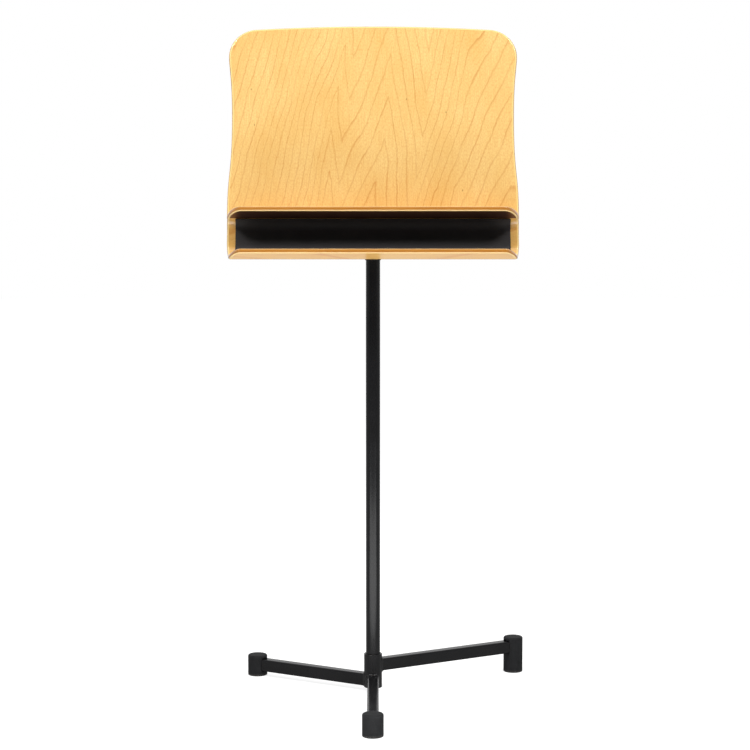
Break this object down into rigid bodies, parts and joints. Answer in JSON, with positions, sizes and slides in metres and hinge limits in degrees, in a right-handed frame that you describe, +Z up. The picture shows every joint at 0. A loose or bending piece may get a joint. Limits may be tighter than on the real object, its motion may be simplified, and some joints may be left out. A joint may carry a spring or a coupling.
{
  "type": "music stand",
  "caption": "Free-standing music stand: a waisted plywood desk over a lined storage tray, on a telescopic post that slides, swivels and tilts, with a low nesting base.",
  "frame": {"origin": "on the floor, under the middle of the object's bounding box; the post's axis stands 12.4 mm left of it and 74.2 mm behind it", "axes": "+Z up along the post; the desk faces -Y and leans back 17 degrees; +X is to the right of someone who faces the desk"},
  "size_m": [0.5277, 0.4828, 1.1716],
  "materials": {
    "maple_ply": "clear satin lacquer on maple plywood, with darker rounded edges",
    "black_lining": "thin matte black mat",
    "black_steel": "fine satin black powder coat",
    "foot_rubber": "matte dark grey moulded rubber",
    "nylon": "natural nylon",
    "zinc_steel": "zinc-plated steel",
    "fibre": "red-brown fibre washer"
  },
  "bodies": {
    "base": {"hub_sleeve": "black_steel", "leg_front": "black_steel", "leg_left": "black_steel", "leg_right": "black_steel", "foot_front": "foot_rubber", "foot_left": "foot_rubber", "foot_right": "foot_rubber", "foot_washer_front": "zinc_steel", "foot_washer_left": "zinc_steel", "foot_washer_right": "zinc_steel", "foot_screw_front": "zinc_steel", "foot_screw_left": "zinc_steel", "foot_screw_right": "zinc_steel", "post_tube": "black_steel", "post_plug": "zinc_steel", "base_washer": "zinc_steel", "base_bolt": "zinc_steel", "post_collar": "black_steel"},
    "clutch": {"clutch_sleeve": "nylon", "clutch_band_lower": "zinc_steel", "clutch_band_upper": "zinc_steel"},
    "mast": {"mast_tube": "black_steel", "mast_guide_plug": "nylon", "tilt_head": "black_steel", "mast_cross_pin": "zinc_steel"},
    "desk": {"desk_bracket": "black_steel", "tilt_bolt": "zinc_steel", "tilt_nut": "zinc_steel", "disc_spring": "zinc_steel", "tilt_washer_left": "zinc_steel", "tilt_washer_right": "zinc_steel", "friction_washer_left": "fibre", "friction_washer_right": "fibre", "desk_board": "maple_ply", "storage_tray": "maple_ply", "tray_lining": "black_lining", "desk_screw_lower_left": "zinc_steel", "desk_screw_lower_right": "zinc_steel", "desk_screw_middle_left": "zinc_steel", "desk_screw_middle_right": "zinc_steel", "desk_screw_upper_left": "zinc_steel", "desk_screw_upper_right": "zinc_steel"}
  },
  "joints": [
    {"name": "desk_swivel", "type": "hinge", "parent": "base", "child": "clutch", "pos_m": [-0.01277, 0.07425, 0.9098], "axis": [0, 0, 1], "continuous": true},
    {"name": "height_slide", "type": "slide", "parent": "clutch", "child": "mast", "axis": [0, 0, 1], "range_m": [-0.05, 0.35]},
    {"name": "desk_tilt", "type": "hinge", "parent": "mast", "child": "desk", "pos_m": [-0.01277, 0.07425, 0.9098], "axis": [-1, 0, 0], "range_deg": [-17, 73]}
  ]
}
